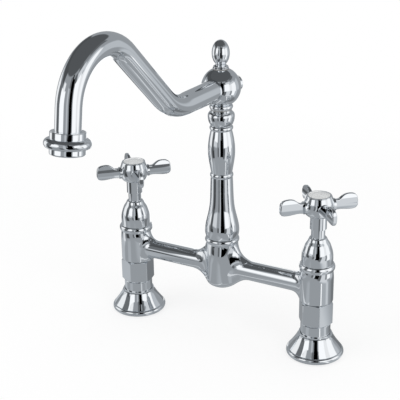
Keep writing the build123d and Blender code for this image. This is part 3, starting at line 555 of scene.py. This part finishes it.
finishes = {
    "chrome_body": chromeMaterial("chromeBody", 1.3, (9, 9, 1900)),
    "chrome_spout": chromeMaterial("chromeSpout", 4.1, (700, 30, 30)),
    "chrome_handle": chromeMaterial("chromeHandle", 7.7, (260, 260, 900)),
    "chrome_trim": chromeMaterial("chromeTrim", 2.9, (9, 9, 2300)),
    "plated_shank": brassMaterial("platedShank", 0.3, plated=0.0195),
    "bare_brass": brassMaterial("bareBrass", 2.2),
    "washer_steel": steelMaterial("washerSteel"),
    "black_rubber": softMaterial("blackRubber", (0.030, 0.030, 0.031), (0.018, 0.018, 0.019),
                                 roughness=0.52, grainScale=900, grainHeight=0.000006),
    # white plastic given a mid grey: painted shade for the dark gaps where these pieces sit between parts
    "white_plastic": softMaterial("whitePlasticPaintedShade", (0.40, 0.40, 0.39), (0.34, 0.34, 0.33),
                                  roughness=0.42, grainScale=500, grainHeight=0.000002),
    "screen_plastic": softMaterial("screenPlastic", (0.70, 0.72, 0.74), (0.62, 0.64, 0.66),
                                   roughness=0.26, grainScale=500, grainHeight=0.000002),
    "valve_ceramic": softMaterial("valveCeramic", (0.90, 0.89, 0.84), (0.86, 0.85, 0.80),
                                  roughness=0.16, grainScale=400, grainHeight=0.000001),
    # white glaze given a light grey: painted shade for its upward faces, which get little light
    "porcelain": softMaterial("porcelain", (0.70, 0.71, 0.71), (0.66, 0.67, 0.67),
                              roughness=0.22, grainScale=120, grainHeight=0.000006, coat=1.0),
}
for row in frame["record"]["subparts"]:
    piece = nodes[row["node"]]
    piece.data.materials.clear()
    piece.data.materials.append(finishes[row["material_slot"]])
print("stage: finishes on", len(nodes), "solids")

# shanks: the solids are plain at the outside of their threads, these pieces carry the cut threads
shankFacts = {
    "around": 48, "bore": 0.0065, "unionRadius": 0.01322,
    "relief": (0.0094, -0.0450, -0.0425),  # radius, from and to
    "collar": (0.0144, 0.0202, 0.0331),  # radius, from and to
    "collarEdge": 0.00035, "collarSupport": 0.0014,  # rows that keep the collar's highlight even
    "supplyThread": {"crest": 0.01048, "pitch": 0.001814, "depth": 0.00098},
    "deckThread": {"crest": 0.0110, "pitch": 0.0015, "depth": 0.00078, "high": -0.0006},
    "profile": ((0.0, 0.0), (0.36, 1.0), (0.5, 1.0), (0.86, 0.0)),  # share of a pitch, share of the depth
    "weld": 0.000002, "sharpFrom": 32.0,  # degrees
}


def addGrid(metal, rows, shift=0):  # faces between rows of points; the seam is shifted for a helix
    points = [[metal.verts.new(point) for point in row] for row in rows]
    around = len(points[0])
    for low in range(len(points) - 1):
        for side in range(around):
            over = low + (shift if side == around - 1 else 0)
            if over + 1 < len(points):
                after = (side + 1) % around
                metal.faces.new((points[low][side], points[over][after], points[over + 1][after],
                                 points[low + 1][side]))


def threadRows(thread, low, high, around):
    pitch, depth = thread["pitch"], thread["depth"]
    rows = []
    for wind in range(-1, math.ceil((high - low) / pitch) + 1):
        for share, proud in shankFacts["profile"]:
            row = []
            for side in range(around):
                height = low + (wind + share + side / around) * pitch
                height = min(max(height, low), high)
                fade = min((height - low) / pitch, (high - height) / pitch, 1.0)
                radius = thread["crest"] - depth + depth * min(proud, fade)
                turn = 2 * math.pi * side / around
                row.append((radius * math.cos(turn), radius * math.sin(turn), height))
            rows.append(row)
    return rows


def buildShank(side):
    node = side + "_shank"
    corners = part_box(node)
    foot, top = corners[0][2], corners[1][2]
    facts, around = shankFacts, shankFacts["around"]
    supply, deck = facts["supplyThread"], facts["deckThread"]
    relief, reliefLow, reliefHigh = facts["relief"]
    collar, collarLow, collarHigh = facts["collar"]
    edge, support = facts["collarEdge"], facts["collarSupport"]
    metal = bmesh.new()
    addGrid(metal, threadRows(supply, foot, reliefLow, around), len(facts["profile"]))
    addGrid(metal, threadRows(deck, reliefHigh, deck["high"], around), len(facts["profile"]))
    supplyRoot, deckRoot = (thread["crest"] - thread["depth"] for thread in (supply, deck))
    turned = [
        [(facts["bore"], foot), (supplyRoot, foot)],
        [(supplyRoot, reliefLow), (relief, reliefLow), (relief, reliefHigh), (deckRoot, reliefHigh)],
        [(deckRoot, deck["high"]), (deck["crest"], deck["high"] + deck["depth"]),
         (deck["crest"], collarLow), (collar - edge, collarLow), (collar, collarLow + edge),
         (collar, collarLow + support), (collar, collarHigh - support),
         (collar, collarHigh - edge), (collar - edge, collarHigh), (facts["unionRadius"], collarHigh),
         (facts["unionRadius"], top), (facts["bore"], top), (facts["bore"], foot)],
    ]
    for outline in turned:
        addGrid(metal, [ringRow(radius, height, around) for radius, height in outline])
    bmesh.ops.remove_doubles(metal, verts=metal.verts, dist=facts["weld"])
    bmesh.ops.recalc_face_normals(metal, faces=metal.faces)
    bmesh.ops.translate(metal, verts=metal.verts, vec=(legs[side], 0, 0))
    mesh = meshFrom(side + "ThreadedShank", metal)
    mesh.shade_smooth()
    mesh.set_sharp_from_angle(angle=math.radians(facts["sharpFrom"]))
    mesh.materials.append(finishes["plated_shank"])
    piece = inScene(side + "ThreadedShank", mesh)
    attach(piece, bodyOf[node])
    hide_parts(node)


for side in ("hot", "cold"):
    buildShank(side)
print("stage: threads cut on both shanks")

# bridge: the casting is drawn in a little under each bead, most at the top, where the solid is straight
coveFacts = {
    "housing": {"tall": 0.0095, "deep": 0.0009, "fades": (0.022, 0.026)},  # fades: out towards the arms
    "hub": {"tall": 0.018, "deep": 0.0021, "fades": (0.007, 0.0165)},
    "outside": (0.0125, 0.0150),  # only the outer wall is drawn in, not the bore
    "rows": 12, "probe": 0.00001, "weld": 0.000001,
}


def smooth(value, low, high):
    share = min(max((value - low) / (high - low), 0.0), 1.0)
    return share * share * (3 - 2 * share)


def drawnIn(point, coves):  # where a point of the plain casting goes
    moved = point.copy()
    for axisX, top, facts in coves:
        arm = Vector((point.x - axisX, point.y, 0))
        rise = min(max((point.z - top + facts["tall"]) / facts["tall"], 0.0), 1.0)
        where = smooth(arm.length, *coveFacts["outside"]) * (1 - smooth(abs(arm.x), *facts["fades"]))
        if rise > 0 and where > 0:
            moved -= arm.normalized() * (facts["deep"] * rise * rise * where)
    return moved


def cornerNormal(source, face, point):  # the plain casting's own normal at a point of one of its faces
    corners = [source.vertices[corner].co for corner in source.polygons[face].vertices]
    normal = Vector((0, 0, 0))
    for share, loop in zip(poly_3d_calc(corners, point), source.polygons[face].loop_indices):
        normal += share * source.corner_normals[loop].vector
    return normal


def drawnNormal(normal, point, coves):  # turned as the surface round the point turns
    probe = coveFacts["probe"]
    here = drawnIn(point, coves)
    slopes = [(drawnIn(point + probe * step, coves) - here) / probe for step in Matrix.Identity(3)]
    return (Matrix(slopes).inverted() @ normal).normalized()


def buildBridge():
    source = nodes["bridge_body"].data
    coves = [(legX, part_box("hot_bonnet")[0][2], coveFacts["housing"]) for legX in legs.values()]
    coves.append((0.0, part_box("lower_column")[0][2], coveFacts["hub"]))
    metal = bmesh.new()
    metal.from_mesh(source)
    origin = metal.faces.layers.int.new("origin")
    for face in metal.faces:
        face[origin] = face.index
    for _, top, facts in coves[1:]:  # both housings are cut at one height
        for row in range(1, coveFacts["rows"] + 1):
            everything = [*metal.verts, *metal.edges, *metal.faces]
            height = top - facts["tall"] * row / coveFacts["rows"]
            bmesh.ops.bisect_plane(metal, geom=everything, dist=coveFacts["weld"],
                                   plane_co=(0, 0, height), plane_no=(0, 0, 1))
    normals = []
    for face in metal.faces:
        for loop in face.loops:
            point = loop.vert.co.copy()
            normals.append(drawnNormal(cornerNormal(source, face[origin], point), point, coves))
    for vertex in metal.verts:
        vertex.co = drawnIn(vertex.co, coves)
    mesh = meshFrom("bridgeCasting", metal)
    mesh.shade_smooth()
    mesh.normals_split_custom_set(normals)
    mesh.materials.clear()
    mesh.materials.append(finishes["chrome_body"])
    piece = inScene("bridgeCasting", mesh)
    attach(piece, bodyOf["bridge_body"])
    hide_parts("bridge_body")


buildBridge()
print("stage: coves drawn into the bridge casting")
